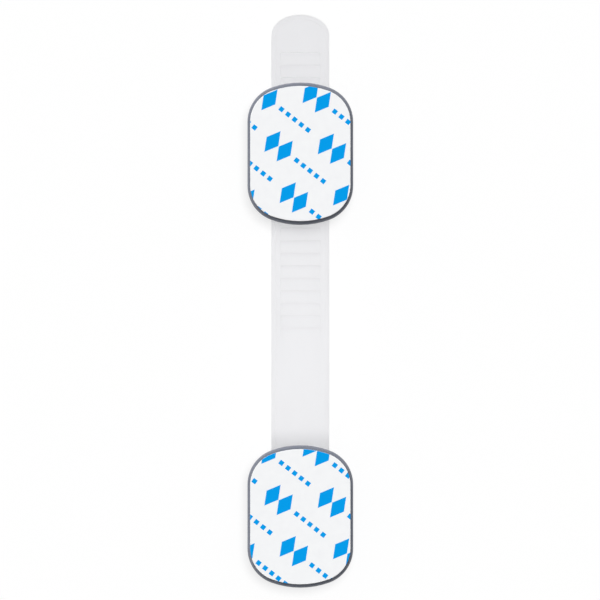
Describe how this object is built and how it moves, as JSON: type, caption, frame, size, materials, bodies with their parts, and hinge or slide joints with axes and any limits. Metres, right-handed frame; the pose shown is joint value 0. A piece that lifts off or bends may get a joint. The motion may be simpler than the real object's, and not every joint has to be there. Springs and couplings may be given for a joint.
{
  "type": "cabinet safety lock",
  "caption": "Child-safety strap lock: a toothed translucent strap between two stick-on pads, one with a squeeze-button latch and one with a ratchet adjuster.",
  "frame": {"origin": "middle of the lock's length and width, on the floor under the covers' fronts", "axes": "+Y along the strap from the lock pad to the free tip, +Z out of the adhesive faces, +X across the strap"},
  "size_m": [0.0328, 0.1782, 0.0123],
  "materials": {
    "grey_abs": "moulded, satin",
    "button_abs": "moulded, fine texture",
    "foam_tape": "closed-cell foam, cut edge",
    "liner_paper": "silicone-coated, printed",
    "strap_polypropylene": "frosted, translucent",
    "white_acetal": "moulded, smooth",
    "spring_steel": "drawn"
  },
  "bodies": {
    "lock_pad": {"lock_base": "grey_abs", "lock_cover": "grey_abs", "lock_foam_pad": "foam_tape", "lock_liner": "liner_paper", "left_spring": "spring_steel", "right_spring": "spring_steel"},
    "left_button": {"left_button": "button_abs"},
    "right_button": {"right_button": "button_abs"},
    "strap_with_plug": {"strap": "strap_polypropylene", "strap_plug": "white_acetal", "strap_pins": "spring_steel"},
    "adjuster_pad": {"adjuster_base": "grey_abs", "adjuster_cover": "grey_abs", "adjuster_foam_pad": "foam_tape", "adjuster_liner": "liner_paper", "ratchet_pawl": "white_acetal"},
    "release_button": {"release_button": "button_abs"}
  },
  "joints": [
    {"name": "left_button_press", "type": "slide", "parent": "lock_pad", "child": "left_button", "axis": [1, 0, 0], "range_m": [0, 0.002], "stiffness_N_per_m": 1500, "springref_m": -0.001, "deforming": ["left_spring", "strap_plug"]},
    {"name": "right_button_press", "type": "slide", "parent": "lock_pad", "child": "right_button", "axis": [-1, 0, 0], "range_m": [0, 0.002], "stiffness_N_per_m": 1500, "springref_m": -0.001, "deforming": ["right_spring", "strap_plug"]},
    {"name": "strap_release", "type": "slide", "parent": "lock_pad", "child": "strap_with_plug", "axis": [0, 1, 0], "range_m": [0, 0.033], "deforming": ["strap_plug"]},
    {"name": "strap_adjust", "type": "slide", "parent": "strap_with_plug", "child": "adjuster_pad", "axis": [0, 1, 0], "range_m": [-0.0468, 0.0195], "deforming": ["ratchet_pawl"]},
    {"name": "release_button_press", "type": "slide", "parent": "adjuster_pad", "child": "release_button", "axis": [0, 0, 1], "range_m": [0, 0.0015], "stiffness_N_per_m": 2000, "springref_m": -0.0005, "deforming": ["ratchet_pawl"]}
  ]
}
